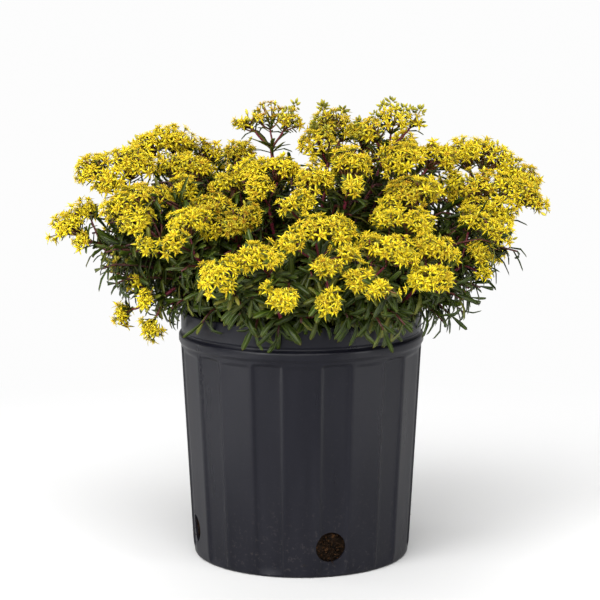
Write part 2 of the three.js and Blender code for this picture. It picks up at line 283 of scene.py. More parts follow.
# Cross sections, as places to the side and upward of a shape's middle line
PETAL_SECTION = ((1, 0.3), (-1, 0.3), (0, -0.8))
LEAF_SECTION = ((1, 0.6), (0, 0.1), (-1, 0.6), (0, -0.7))

# Shapes, each as its rings of (place along, share of the width, share of the thickness) and its section
PETAL = (((0.26, 0.95, 1.0), (0.62, 0.7, 0.8)), PETAL_SECTION)
SHADED_PETAL = (((0.42, 0.95, 1.0),), PETAL_SECTION)
LEAF = (
    ((0.04, 0.3, 0.9), (0.3, 0.55, 1.0), (0.6, 1.0, 0.95), (0.84, 0.9, 0.8), (0.96, 0.45, 0.6)),
    LEAF_SECTION,
)
SMALL_LEAF = (((0.08, 0.35, 0.9), (0.56, 0.95, 1.0), (0.9, 0.72, 0.7)), LEAF_SECTION)
STAMEN = (((0.84, 1.0, 1.0),), round_section(3))
CARPEL = (((0.35, 1.0, 1.0),), round_section(3))
CALYX = (((0.8, 1.0, 1.0),), round_section(5))
BUD = (((0.2, 0.8, 0.8), (0.66, 0.86, 0.86)), round_section(5))
CRUMB = (((0.4, 1.0, 1.0),), round_section(4))


# Vectors

def unit(v):
    return v / np.maximum(np.linalg.norm(v, axis=-1, keepdims=True), 1e-9)


def square_to(v, direction):
    """What is left of v at a right angle to direction, at unit length."""
    return unit(v - np.sum(v * direction, axis=-1, keepdims=True) * direction)


def any_side(direction):
    """Some direction at a right angle to each one given."""
    flat = np.abs(direction[..., 2:3]) > 0.9
    helper = np.where(flat, np.array([1.0, 0.0, 0.0]), UP)
    return unit(np.cross(helper, direction))


def round_about(axis, turn):
    """Directions at a right angle to axis, each turned round it by its own angle."""
    side = any_side(axis)
    return np.cos(turn)[:, None] * side + np.sin(turn)[:, None] * np.cross(axis, side)


def smoothstep(low, high, value):
    share = np.clip((value - low) / (high - low), 0, 1)
    return share * share * (3 - 2 * share)


def bezier(points, stations):
    """Points along a cubic curve, or along many at once: points is (..., 4, 3)."""
    t = np.linspace(0, 1, stations)[:, None]
    weights = ((1 - t) ** 3, 3 * t * (1 - t) ** 2, 3 * t * t * (1 - t), t ** 3)
    return sum(w * points[..., i:i + 1, :] for i, w in enumerate(weights))


def scattered(rng, count, reach, z=0.0, hollow=0.0):
    """Places spread evenly over a level disc, or over a ring outside its hollow share."""
    radius = reach * np.sqrt(rng.uniform(hollow, 1, count))
    turn = rng.uniform(0, 2 * math.pi, count)
    return np.stack([radius * np.cos(turn), radius * np.sin(turn), np.full(count, z)], axis=1)


# Closed shapes, made many at a time

class Growth:
    """Gathers the closed shapes of one piece, each from a start point, rings and an end point."""

    def __init__(self):
        self.batches = []

    def add(self, points, sides, along, across, tone, age):
        """points is (shapes, 2 + rings * sides, 3); tone and age have one value a shape."""
        if len(points):
            age = np.zeros(len(points)) if age is None else age
            self.batches.append((points, sides, along, across, tone, age))

    def blades(self, root, heading, up, length, lift, curl, width, thickness, shape, tone, age=None):
        """Leaf-like shapes that leave root towards heading, lifted and then curled towards up."""
        outline, section = shape
        count = len(root)
        spread = np.ones(count)
        length, lift, curl = length * spread, lift * spread, curl * spread
        width, thickness = width * spread, thickness * spread
        up = square_to(up, heading)
        side = np.cross(up, heading)
        places = np.array([0.0] + [ring[0] for ring in outline] + [1.0])
        middles = (places[1:] + places[:-1]) / 2
        turn = lift[:, None] + curl[:, None] * middles
        step = (np.cos(turn)[..., None] * heading[:, None]
                + np.sin(turn)[..., None] * up[:, None]) * (np.diff(places) * length[:, None])[..., None]
        line = root[:, None] + np.concatenate([np.zeros((count, 1, 3)), np.cumsum(step, axis=1)], axis=1)
        turn = lift[:, None] + curl[:, None] * places
        normal = -np.sin(turn)[..., None] * heading[:, None] + np.cos(turn)[..., None] * up[:, None]
        rings = []
        for i, (_, broad, deep) in enumerate(outline, start=1):
            for sideways, upward in section:
                rings.append(line[:, i] + side * (sideways * broad * width / 2)[:, None]
                             + normal[:, i] * (upward * deep * thickness / 2)[:, None])
        points = np.stack([line[:, 0]] + rings + [line[:, -1]], axis=1)
        sides = len(section)
        along = np.concatenate([[0], np.repeat(places[1:-1], sides), [1]])
        across = np.concatenate([[0], np.tile([abs(s) for s, _ in section], len(outline)), [0]])
        self.add(points, sides, along, across, tone, age)

    def rods(self, paths, radii, sides, tone, age=None):
        """Round stalks along paths of (shapes, stations, 3) with radii of (shapes, stations)."""
        stations = paths.shape[1]
        tangent = unit(np.gradient(paths, axis=1))
        normal = any_side(tangent[:, 0])
        rings = []
        for i in range(stations):
            normal = square_to(normal, tangent[:, i])
            binormal = np.cross(tangent[:, i], normal)
            for cosine, sine in round_section(sides):
                rings.append(paths[:, i] + radii[:, i:i + 1] * (cosine * normal + sine * binormal))
        points = np.stack([paths[:, 0]] + rings + [paths[:, -1]], axis=1)
        along = np.concatenate([[0], np.repeat(np.linspace(0, 1, stations), sides), [1]])
        self.add(points, sides, along, np.zeros(len(along)), tone, age)

    def piece(self, name, finish, slot_name, replaced=()):
        """The mesh of all that was gathered, riding on the one body."""
        if not self.batches:
            return None
        grid = math.ceil(math.sqrt(sum(len(batch[0]) for batch in self.batches)))
        corners, triangles, uvs = [], [], []
        values = {"along": [], "across": [], "tone": [], "age": []}
        first_shape = 0
        first_corner = 0
        for points, sides, along, across, tone, age in self.batches:
            count, size, _ = points.shape
            faces, unrolled = loft_faces(sides, (size - 2) // sides)
            starts = first_corner + size * np.arange(count)
            triangles.append((starts[:, None, None] + faces).reshape(-1, 3))
            cell = first_shape + np.arange(count)
            cell_corner = np.stack([cell % grid, cell // grid], axis=1)
            uvs.append(((cell_corner[:, None, None] + 0.06 + 0.88 * unrolled) / grid).reshape(-1, 2))
            corners.append(points.reshape(-1, 3))
            values["along"].append(np.tile(along, count))
            values["across"].append(np.tile(across, count))
            values["tone"].append(np.repeat(tone, size))
            values["age"].append(np.repeat(age, size))
            first_shape += count
            first_corner += count * size
        mesh = triangle_mesh(name, np.concatenate(corners), np.concatenate(triangles))
        mesh.uv_layers.new(name="OFBake").data.foreach_set("uv", np.concatenate(uvs).ravel())
        for label, lists in values.items():
            set_value(mesh, label, np.concatenate(lists))
        return placed(name, mesh, finish, replaced)


def loft_faces(sides, rings):
    """Triangles of a closed loft and their unrolled places: a start point, rings and an end point."""
    triangles, places = [], []
    height = 1 / (rings + 1)
    last = 1 + rings * sides
    for k in range(sides):
        after = (k + 1) % sides
        left, right, middle = k / sides, (k + 1) / sides, (k + 0.5) / sides
        triangles.append((0, 1 + after, 1 + k))
        places.append(((middle, 0), (right, height), (left, height)))
        for ring in range(rings - 1):
            low, high = 1 + ring * sides, 1 + (ring + 1) * sides
            bottom, top = (ring + 1) * height, (ring + 2) * height
            triangles.append((low + k, low + after, high + after))
            places.append(((left, bottom), (right, bottom), (right, top)))
            triangles.append((low + k, high + after, high + k))
            places.append(((left, bottom), (right, top), (left, top)))
        base = 1 + (rings - 1) * sides
        triangles.append((last, base + k, base + after))
        places.append(((middle, 1), (left, 1 - height), (right, 1 - height)))
    return np.array(triangles), np.array(places)


def triangle_mesh(name, corners, triangles):
    """A smooth mesh in metres from corners in millimetres."""
    mesh = bpy.data.meshes.new(name)
    mesh.vertices.add(len(corners))
    mesh.vertices.foreach_set("co", (corners * MM).astype(np.float32).ravel())
    mesh.loops.add(3 * len(triangles))
    mesh.loops.foreach_set("vertex_index", triangles.astype(np.int32).ravel())
    mesh.polygons.add(len(triangles))
    mesh.polygons.foreach_set("loop_start", np.arange(0, 3 * len(triangles), 3, dtype=np.int32))
    mesh.update(calc_edges=True)
    mesh.shade_smooth()
    return mesh


def set_value(mesh, label, values):
    """Gives each corner of a mesh a value that its finish reads."""
    layer = mesh.attributes.new(label, "FLOAT", "POINT")
    layer.data.foreach_set("value", values.astype(np.float32))


def placed(name, mesh, finish, replaced=()):
    """An object with its finish, riding on the one body and standing for its CAD nodes."""
    mesh.materials.append(finish)
    piece = bpy.data.objects.new(name, mesh)
    bpy.context.scene.collection.objects.link(piece)
    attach(piece, "root")
    if replaced:
        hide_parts(*replaced)
    return piece


# Finishes

class Nodes:
    """Short ways to add nodes to a shader tree. A value given is a socket, a number or a colour."""

    def __init__(self, tree):
        self.tree = tree

    def node(self, kind, **settings):
        made = self.tree.nodes.new(kind)
        for key, value in settings.items():
            setattr(made, key, value)
        return made

    def feed(self, socket, given):
        if isinstance(given, bpy.types.NodeSocket):
            self.tree.links.new(given, socket)
        elif isinstance(given, tuple) and socket.type == "RGBA":
            socket.default_value = (*given, 1)
        else:
            socket.default_value = given

    def made(self, kind, inputs, **settings):
        """The first output of a new node with these inputs, each by its name or its number."""
        node = self.node(kind, **settings)
        for key, given in inputs.items():
            self.feed(node.inputs[key], given)
        return node.outputs[0]

    def place(self):
        """Where a point lies on its piece, in metres."""
        return self.node("ShaderNodeTexCoord").outputs["Object"]

    def value(self, name):
        """A value that the mesh carries at each corner."""
        return self.node("ShaderNodeAttribute", attribute_name=name).outputs["Fac"]

    def coordinate(self, place, axis):
        node = self.node("ShaderNodeSeparateXYZ")
        self.feed(node.inputs[0], place)
        return node.outputs[axis]

    def grain(self, place, scale, detail, roughness=0.5):
        inputs = {"Vector": place, "Scale": scale, "Detail": detail, "Roughness": roughness}
        return self.made("ShaderNodeTexNoise", inputs)

    def math(self, operation, *given):
        return self.made("ShaderNodeMath", dict(enumerate(given)), operation=operation)

    def mapped(self, value, old, new=(0.0, 1.0), kind="LINEAR"):
        """value with its old range turned into a new one, and held within it."""
        inputs = dict(zip(("Value", "From Min", "From Max", "To Min", "To Max"), (value, *old, *new)))
        return self.made("ShaderNodeMapRange", inputs, interpolation_type=kind)

    def ramp(self, value, stops):
        node = self.node("ShaderNodeValToRGB")
        elements = node.color_ramp.elements
        while len(elements) < len(stops):
            elements.new(0.5)
        for element, (place, colour) in zip(elements, stops):
            element.position = place
            element.color = (*colour, 1)
        self.feed(node.inputs["Fac"], value)
        return node.outputs["Color"]

    def mix(self, share, first, second):
        """The first colour turning into the second."""
        node = self.node("ShaderNodeMix", data_type="RGBA")
        for socket, given in ((0, share), (6, first), (7, second)):
            self.feed(node.inputs[socket], given)
        return node.outputs[2]


class Finish(Nodes):
    """A material with its Principled shader."""

    def __init__(self, name):
        self.material = bpy.data.materials.new(name)
        self.material.use_nodes = True
        super().__init__(self.material.node_tree)
        self.shader = self.tree.nodes["Principled BSDF"]

    def surface(self, colour, roughness, specular):
        self.feed(self.shader.inputs["Base Color"], colour)
        self.feed(self.shader.inputs["Roughness"], roughness)
        self.feed(self.shader.inputs["Specular IOR Level"], specular)
        return self.material

    def relief(self, height, strength, distance):
        inputs = {"Height": height, "Strength": strength, "Distance": distance}
        self.feed(self.shader.inputs["Normal"], self.made("ShaderNodeBump", inputs))

    def aged(self, colour, old):
        """A colour that turns into its old one as a shape ages."""
        inputs = {"Color": colour, "Old Color": old, "Age": self.value("age")}
        return self.made("ShaderNodeGroup", inputs, node_tree=AGED)

    def toned(self, colour, spread, patches):
        """A colour made lighter or darker from shape to shape, and in soft patches."""
        inputs = {"Color": colour, "Tone": self.value("tone"), "Spread": spread, "Patch Spread": patches}
        return self.made("ShaderNodeGroup", inputs, node_tree=TONED)


class Effect(Nodes):
    """A shader node group with named inputs and outputs, which several finishes share."""

    def __init__(self, name, inputs, outputs):
        super().__init__(bpy.data.node_groups.new(name, "ShaderNodeTree"))
        for label, given in inputs.items():
            kind = "NodeSocketColor" if isinstance(given, tuple) else "NodeSocketFloat"
            socket = self.tree.interface.new_socket(label, in_out="INPUT", socket_type=kind)
            socket.default_value = given
        for label, kind in outputs.items():
            self.tree.interface.new_socket(label, in_out="OUTPUT", socket_type=kind)
        self.given = self.node("NodeGroupInput").outputs
        self.results = self.node("NodeGroupOutput").inputs


def aged_effect():
    """Turns a colour into its old one, as far as a shape's own age."""
    inputs = {"Color": WHITE, "Old Color": WHITE, "Age": 0.0}
    effect = Effect("aged", inputs, {"Color": "NodeSocketColor"})
    given = effect.given
    effect.feed(effect.results["Color"], effect.mix(given["Age"], given["Color"], given["Old Color"]))
    return effect.tree


def toned_effect():
    """Makes a colour lighter or darker by a shape's own tone, and by soft patches."""
    inputs = {"Color": WHITE, "Tone": 0.5, "Spread": 0.4, "Patch Spread": 0.2}
    effect = Effect("toned", inputs, {"Color": "NodeSocketColor"})
    given = effect.given
    patch = effect.grain(effect.place(), scale=300, detail=2)
    brightness = 1.0
    for share, spread in ((given["Tone"], given["Spread"]), (patch, given["Patch Spread"])):
        centred = effect.math("SUBTRACT", share, 0.5)
        brightness = effect.math("MULTIPLY_ADD", centred, spread, brightness)
    shade = effect.made("ShaderNodeHueSaturation", {"Color": given["Color"], "Value": brightness})
    effect.feed(effect.results["Color"], shade)
    return effect.tree


def rough_grain_effect():
    """The mottled grain of earthy matter, and the relief that it gives to the surface."""
    outputs = {"Grain": "NodeSocketFloat", "Normal": "NodeSocketVector"}
    effect = Effect("rough grain", {"Relief": 0.001}, outputs)
    grain = effect.grain(effect.place(), scale=450, detail=6, roughness=0.65)
    inputs = {"Height": grain, "Strength": 0.8, "Distance": effect.given["Relief"]}
    effect.feed(effect.results["Grain"], grain)
    effect.feed(effect.results["Normal"], effect.made("ShaderNodeBump", inputs))
    return effect.tree


WHITE = (1, 1, 1, 1)
AGED = aged_effect()
TONED = toned_effect()
ROUGH_GRAIN = rough_grain_effect()


def aging_finish(name, stops, old, spread, patches, roughness, specular):
    """Living matter coloured along its length, which turns to another colour with age."""
    finish = Finish(name)
    colour = finish.aged(finish.ramp(finish.value("along"), stops), old)
    return finish.surface(finish.toned(colour, spread, patches), roughness, specular)


def leaf_finish():
    """Deep green fleshy leaves with a paler edge and midrib, the edge partly their own margin and partly a
    painted highlight, some reddened at the tip.
    """
    finish = Finish("fleshy leaf")
    blade = finish.ramp(finish.value("along"), (
        (0.0, (0.018, 0.025, 0.002)), (0.4, (0.016, 0.029, 0.002)), (0.9, (0.027, 0.044, 0.003)),
        (1.0, (0.060, 0.040, 0.005)),
    ))
    # Paler edge and midrib: partly the leaf's own pale margin, partly a painted highlight along the edge.
    pale_edge_and_sheen_mask = finish.ramp(finish.value("across"), (
        (0.0, (0.34, 0.34, 0.34)), (0.16, (0.0, 0.0, 0.0)), (0.78, (0.0, 0.0, 0.0)),
        (1.0, (0.5, 0.5, 0.5)),
    ))
    pale_edge_and_sheen = finish.mix(pale_edge_and_sheen_mask, blade, (0.17, 0.23, 0.03))
    yellowed = finish.aged(pale_edge_and_sheen, (0.22, 0.20, 0.03))
    return finish.surface(finish.toned(yellowed, spread=0.9, patches=0.5), roughness=0.35, specular=0.25)


def pot_finish():
    """Black blow-moulded plastic with a satin skin, scuffs and a little dried dust near the foot."""
    finish = Finish("black pot plastic")
    place = finish.place()
    stretched = finish.made("ShaderNodeMapping", {"Vector": place, "Scale": (1, 1, 0.12)})
    streaks = finish.grain(stretched, scale=90, detail=5)
    plastic = finish.ramp(streaks, (
        (0.3, (0.0050, 0.0051, 0.0086)), (0.7, (0.0072, 0.0073, 0.0116)),
    ))
    height = finish.coordinate(place, "Z")
    low = finish.mapped(height, (0.07, 0.0), (0.06, 0.34), "SMOOTHSTEP")
    specks = finish.mapped(finish.grain(place, scale=420, detail=6, roughness=0.7), (0.56, 0.72))
    dusty = finish.mix(finish.math("MULTIPLY", low, specks), plastic, (0.09, 0.08, 0.075))
    gloss = finish.mapped(streaks, (0.3, 0.75), (0.26, 0.38))
    finish.relief(finish.grain(place, scale=700, detail=3), strength=0.12, distance=0.0002)
    return finish.surface(dusty, gloss, specular=0.24)


def earthy_finish(name, stops, relief):
    """Rough brown matter, mottled by its own grain."""
    finish = Finish(name)
    rough = finish.node("ShaderNodeGroup", node_tree=ROUGH_GRAIN)
    finish.feed(rough.inputs["Relief"], relief)
    finish.feed(finish.shader.inputs["Normal"], rough.outputs["Normal"])
    mottled = finish.ramp(rough.outputs["Grain"], stops)
    return finish.surface(finish.toned(mottled, spread=1.0, patches=0.5), roughness=0.85, specular=0.1)


# Lemon petals, deeper at their foot and paler at their tips, the pale tips partly their own colour and
# partly a painted highlight, turning ochre with age
BLOSSOM = aging_finish("lemon blossom", (
    (0.0, (0.58, 0.37, 0.008)), (0.25, (0.86, 0.66, 0.014)), (0.7, (0.94, 0.81, 0.03)),
    (1.0, (0.96, 0.89, 0.19)),
), old=(0.46, 0.35, 0.025), spread=0.4, patches=0.1, roughness=0.5, specular=0.12)

# Yellow stamens and carpels that turn orange as the flower ages
STAMENS = aging_finish("stamens and carpels", (
    (0.0, (0.62, 0.50, 0.02)), (0.7, (0.90, 0.74, 0.04)), (0.85, (0.90, 0.66, 0.03)),
    (1.0, (0.85, 0.50, 0.02)),
), old=(0.48, 0.17, 0.012), spread=0.5, patches=0.2, roughness=0.6, specular=0.1)

# Green-yellow buds and sepals, more yellow at the tip of an opening bud
BUDS = aging_finish("buds and sepals", (
    (0.0, (0.035, 0.052, 0.009)), (0.5, (0.085, 0.105, 0.013)), (1.0, (0.27, 0.26, 0.025)),
), old=(0.72, 0.60, 0.045), spread=0.5, patches=0.2, roughness=0.45, specular=0.2)

# Dark red stalks, browner towards their foot, and green where they are young
RED_STEM = aging_finish("red stem", (
    (0.0, (0.075, 0.034, 0.014)), (0.5, (0.110, 0.017, 0.024)), (1.0, (0.135, 0.014, 0.030)),
), old=(0.21, 0.18, 0.014), spread=0.7, patches=0.5, roughness=0.4, specular=0.3)

LEAVES = leaf_finish()
POT_PLASTIC = pot_finish()
POTTING_MIX = earthy_finish("bark and peat", (
    (0.35, (0.003, 0.002, 0.001)), (0.56, (0.014, 0.007, 0.003)), (0.76, (0.13, 0.058, 0.02)),
), relief=0.0008)
WOODY_BARK = earthy_finish("woody bark", (
    (0.3, (0.05, 0.03, 0.018)), (0.55, (0.11, 0.07, 0.04)), (0.75, (0.2, 0.14, 0.09)),
), relief=0.001)


# The pot

def way_out(turn):
    """The level direction away from the axis, at an angle from the front towards +X."""
    return np.stack([np.sin(turn), -np.cos(turn), 0 * turn], axis=-1)


def wall_radius(z):
    rise = (z - WALL_LOW_Z) / (BEAD_LOW_Z - WALL_LOW_Z)
    return WALL_LOW_RADIUS + (WALL_TOP_RADIUS - WALL_LOW_RADIUS) * rise


def flatness(radius, away, half):
    """How far in from round a flat panel lies, at degrees away from its middle."""
    return radius * (1 - np.cos(math.radians(half)) / np.cos(np.radians(np.minimum(away, half))))


def wall_sink(angle, z):
    """How far in from round the wall lies: flat ribs with flat flutes pressed in between them."""
    from_middle = np.abs((angle - FLUTE_PHASE + FLUTE_PITCH / 2) % FLUTE_PITCH - FLUTE_PITCH / 2)
    radius = wall_radius(z)
    flute = FLUTE_DEPTH + flatness(radius, from_middle, FLUTE_FLAT_HALF)
    rib = flatness(radius, FLUTE_PITCH / 2 - from_middle, FLUTE_PITCH / 2 - FLUTE_EDGE_HALF)
    sideways = smoothstep(FLUTE_FLAT_HALF, FLUTE_EDGE_HALF, from_middle)
    arch = np.sqrt(np.maximum(0, 1 - (from_middle / FLUTE_EDGE_HALF) ** 2))
    top = FLUTE_SHOULDER_Z + (FLUTE_TOP_Z - FLUTE_SHOULDER_Z) * arch
    upward = 1 - smoothstep(top - 2.2, top + 0.8, z)
    downward = smoothstep(FLUTE_LOW_Z - 3, FLUTE_LOW_Z + 1, z)
    return (flute + (rib - flute) * sideways) * upward * downward


def pressed_beyond(reach):
    """The sink of a profile's wall, where the profile is wider than reach."""
    def pressed(angle, z, radius):
        return np.where(radius > reach, wall_sink(angle, z), 0)

    return pressed


def unpressed(angle, z, radius):
    return 0 * angle * z


def arc(middle, radius, start, stop, steps):
    """Points of a profile on part of a circle, by angles in degrees."""
    turns = np.radians(np.linspace(start, stop, steps))
    return [(middle[0] + radius * math.cos(t), middle[1] + radius * math.sin(t)) for t in turns]


def lathe_mesh(name, profile, pressed, angles):
    """A turned shape that starts and ends on the axis; pressed(angle, z, radius) sinks its wall."""
    radii = np.array([r for r, _ in profile[1:-1]])
    heights = np.array([z for _, z in profile[1:-1]])
    sunk = radii[:, None] - pressed(angles[None], heights[:, None], radii[:, None])
    turns = np.radians(angles)
    ring_points = np.stack([
        sunk * np.sin(turns), -sunk * np.cos(turns), np.broadcast_to(heights[:, None], sunk.shape),
    ], axis=-1)
    start = np.array([[0, 0, profile[0][1]]])
    end = np.array([[0, 0, profile[-1][1]]])
    corners = np.concatenate([start, ring_points.reshape(-1, 3), end])
    faces, _ = loft_faces(len(angles), len(radii))
    return triangle_mesh(name, corners, faces)


def pot_profile():
    """The pot's outline from the middle of its underside, up the outside, over the lip and down inside."""
    wall_heights = (*np.linspace(WALL_LOW_Z, 16, 9), *np.linspace(24, 128, 9), *np.linspace(140, 147, 18))
    inner_heights = (146, 144, 142, 136, 120, 80, 40, 16, 12, WALL_LOW_Z)
    foot_ring = FOOT_RADIUS - FOOT_RING_WIDTH
    return [
        (0, UNDERSIDE_RISE), (foot_ring - FOOT_RING_SLOPE, UNDERSIDE_RISE), (foot_ring, 0.0),
        *arc((FOOT_RADIUS - 0.2, HEEL_ROUNDING), HEEL_ROUNDING, -90, -15, 7),
        (WALL_LOW_RADIUS - 0.35, 4.6),
        *[(wall_radius(z), z) for z in wall_heights],
        *arc((BEAD_RADIUS - BEAD_LOW_ROUNDING, BEAD_LOW_Z + 2.9), BEAD_LOW_ROUNDING, -50, 0, 6),
        *arc((BEAD_RADIUS - BEAD_TOP_ROUNDING, BEAD_TOP_Z - 2.3), BEAD_TOP_ROUNDING, 0, 80, 7),
        *arc((GROOVE_RADIUS + GROOVE_ROUNDING, BEAD_TOP_Z + 0.9), GROOVE_ROUNDING, 235, 150, 5),
        *arc((RIM_BAND_RADIUS - RIM_BAND_ROUNDING, BEAD_TOP_Z + 2.9), RIM_BAND_ROUNDING, -40, 0, 4),
        (RIM_BAND_RADIUS, BEAD_TOP_Z + 8),
        *arc((RIM_BAND_RADIUS - LIP_ROUNDING, POT_HEIGHT - LIP_ROUNDING), LIP_ROUNDING, 0, 180, 11),
        (RIM_BAND_RADIUS - WALL_THICKNESS - 0.5, BEAD_TOP_Z + 3),
        (GROOVE_RADIUS - WALL_THICKNESS, BEAD_TOP_Z + 1),
        (BEAD_RADIUS - WALL_THICKNESS, BEAD_TOP_Z - 2.5),
        (BEAD_RADIUS - WALL_THICKNESS, BEAD_LOW_Z + 2),
        *[(wall_radius(z) - WALL_THICKNESS, z) for z in inner_heights],
        (FOOT_RADIUS - 0.4, FLOOR_THICKNESS + 0.2), (0, FLOOR_THICKNESS),
    ]


def build_pot():
    edge = list(np.linspace(FLUTE_FLAT_HALF, FLUTE_EDGE_HALF, 6))
    half_pitch = edge + [9.4, 11.1, 12.9, 14.6, FLUTE_PITCH / 2]
    places = [-place for place in half_pitch[-2::-1]] + [-4, -2, 0, 2, 4] + half_pitch
    angles = np.concatenate([np.array(places) + FLUTE_PHASE + FLUTE_PITCH * k for k in range(FLUTES)])
    mesh = lathe_mesh("nursery_pot_shell", pot_profile(), pressed_beyond(FOOT_RADIUS + 1), angles)
    pot = placed("nursery_pot_shell", mesh, POT_PLASTIC, ["nursery_pot"])
    cutter = drain_cutter()
    cut = pot.modifiers.new("drain holes", "BOOLEAN")
    cut.operation = "DIFFERENCE"
    cut.solver = "EXACT"
    cut.object = cutter
    bpy.context.view_layer.update()
    evaluated = pot.evaluated_get(bpy.context.evaluated_depsgraph_get())
    finished = bpy.data.meshes.new_from_object(evaluated)
    pot.modifiers.clear()
    pot.data = finished
    bpy.data.objects.remove(cutter)
    finished.shade_smooth()
    finished.set_sharp_from_angle(angle=SHARP_EDGE)


def drain_cutter():
    """Four rods through the foot of the wall, which leave the drain holes."""
    outward = way_out(np.radians(DRAIN_ANGLES))
    reaches = (WALL_LOW_RADIUS - DRILL_INWARD, WALL_LOW_RADIUS + DRILL_OUTWARD)
    paths = np.stack([outward * reach + UP * DRAIN_Z for reach in reaches], axis=1)
    count = len(outward)
    drill = Growth()
    drill.rods(paths, np.full((count, 2), DRAIN_RADIUS), DRILL_SIDES, np.full(count, 0.5))
    return drill.piece("drain_hole_cutter", POT_PLASTIC, "pot_plastic")


# What the pot holds

def roughened(mesh, depth, scale):
    """Moves a mesh's corners in or out by a soft noise, depth in millimetres and scale in lumps a metre."""
    mesh.update()
    normals = [corner.normal.copy() for corner in mesh.vertices]
    for corner, normal in zip(mesh.vertices, normals):
        corner.co += normal * (depth * MM * noise.fractal(corner.co * scale, 1.0, 2.0, 4))


def crumbs(growth, places, rng, size):
    """Chips of bark and grains of peat at the given places."""
    count = len(places)
    heading = unit(rng.normal(size=(count, 3)) * [1, 1, 0.45])
    up = unit(rng.normal(size=(count, 3)) * 0.4 + UP)
    length = size * rng.uniform(0.5, 1.6, count)
    root = places - heading * length[:, None] / 2
    growth.blades(
        root, heading, up, length, 0, 0, length * rng.uniform(0.35, 0.8, count),
        length * rng.uniform(0.25, 0.5, count), CRUMB, rng.uniform(0, 1, count) ** 1.5)


def fibres(growth, places, rng):
    """Fine roots and peat fibres lying about the given places."""
    count = len(places)
    points = places[:, None] + rng.normal(size=(count, 4, 3)) * FIBRE_REACH
    radii = np.full((count, 5), FIBRE_RADIUS) * rng.uniform(0.6, 1.5, (count, 1))
    growth.rods(bezier(points, 5), radii, 3, rng.uniform(0.5, 1.2, count))


def build_soil():
    rng = np.random.default_rng(11)
    behind_wall = WALL_THICKNESS + MIX_SHRINKAGE
    heights = (3, *np.linspace(8, 34, 14), *np.linspace(44, 140, 8), SOIL_Z - 1.5)
    low = FLOOR_THICKNESS + CLEARANCE
    profile = [
        (0, low), (FOOT_RADIUS - 1.6, low),
        *[(wall_radius(z) - behind_wall - 1.2, z) for z in heights],
        *[(radius, SOIL_Z - 0.6) for radius in (77, 72, 66, 60, 54, 48, 40, 30, 20, 10, 0)],
    ]
    mesh = lathe_mesh("potting_mix_body", profile, pressed_beyond(FOOT_RADIUS - 3), np.arange(0, 360, 2))
    roughened(mesh, depth=1.0, scale=160)
    set_value(mesh, "tone", np.full(len(mesh.vertices), 0.45))
    placed("potting_mix_body", mesh, POTTING_MIX, ["potting_mix"])
    grains = Growth()
    crumbs(grains, scattered(rng, 700, 76.5, SOIL_Z - 0.8, hollow=0.3), rng, CRUMB_SIZE)
    for out in way_out(np.radians(DRAIN_ANGLES)):
        across, upward, _ = scattered(rng, 120, DRAIN_RADIUS - 0.5).T[..., None]
        middle = out * (WALL_LOW_RADIUS - behind_wall - 1.6) + UP * DRAIN_Z
        places = middle + across * np.cross(UP, out) + upward * UP
        crumbs(grains, places, rng, DRAIN_CRUMB_SIZE)
        fibres(grains, places[:40], rng)
    grains.piece("potting_mix_crumbs", POTTING_MIX, "potting_mix")


def build_crown():
    rng = np.random.default_rng(12)
    low = SOIL_Z + CLEARANCE - 1
    profile = [
        (0, low), (CROWN_RADIUS - 2, low), (CROWN_RADIUS, SOIL_Z + 1.5), (CROWN_RADIUS - 1, SOIL_Z + 4),
        (CROWN_RADIUS - 5, CROWN_TOP_Z - 1.2), (38, CROWN_TOP_Z - 1),
        *[(radius, CROWN_TOP_Z - 0.8) for radius in (30, 20, 10, 0)],
    ]
    mesh = lathe_mesh("root_crown_knot", profile, unpressed, np.arange(0, 360, 4))
    roughened(mesh, depth=1.3, scale=90)
    set_value(mesh, "tone", np.full(len(mesh.vertices), 0.4))
    placed("root_crown_knot", mesh, WOODY_BARK, ["root_crown"])
    count = 110
    foot = scattered(rng, count, CROWN_RADIUS - 4, SOIL_Z + 3)
    lean = unit(foot * LEVEL + rng.normal(size=(count, 3)) * 14) * LEVEL
    tip = foot + lean * 7 + UP * rng.uniform(3, 10, (count, 1))
    points = np.stack([foot, foot + UP * 3, tip - UP * 2, tip], axis=1)
    radii = np.linspace(2.2, 1.2, 4)[None] * rng.uniform(0.6, 1.2, (count, 1))
    bases = Growth()
    bases.rods(bezier(points, 4), radii, 6, rng.uniform(0, 0.8, count))
    bases.piece("old_stem_bases", WOODY_BARK, "woody_crown")


# Stems

def hub_of(domes):
    """Where a head's branches spread, and the way its stem points there."""
    middle = np.mean([dome[:3] for dome in domes], axis=0)
    facing = unit(middle - CANOPY_HEART)
    droop = min(1, max(0, (DROOP_BELOW_Z - middle[2]) / DROOP_RANGE))
    upright = unit(facing + HEAD_LIFT * UP)
    hanging = unit(np.array([facing[0], facing[1], HANGING_SLOPE]))
    heading = unit(upright + (hanging - upright) * droop)
    reach = HUB_DEPTH + HUB_DEPTH_PER_CLUSTER * len(domes)
    return middle - heading * reach, heading


def stem_end(hub):
    point, heading = hub
    return point - heading * (HUB_STUB + CLEARANCE)


def main_stem(hub):
    """A stem rises from the crown, then leans out to its head."""
    end = stem_end(hub)
    lean = math.atan2(math.hypot(end[0], end[1]), end[2] - CANOPY_HEART[2] + LEAN_DROP)
    foot = unit(end * LEVEL) * STEM_SPREAD * min(1, lean / FULL_LEAN)
    foot[2] = CROWN_TOP_Z + CLEARANCE
    run = np.linalg.norm(end - foot)
    over_rim = POT_HEIGHT + RIM_HEADROOM - end[2] + HEADROOM_SLOPE * run
    arch = min(max(ARCH_RISE * run, over_rim), STEEPEST_ARCH * run)
    return np.array([foot, foot + UP * arch, end - hub[1] * STEM_EASE * run, end])


def curve_at(points, t):
    """The place and the direction of a cubic curve at t."""
    place = bezier(points, 201)[round(200 * t)]
    a, b, c = np.diff(points, axis=0)
    tangent = a * (1 - t) ** 2 + 2 * b * t * (1 - t) + c * t * t
    return place, unit(tangent)


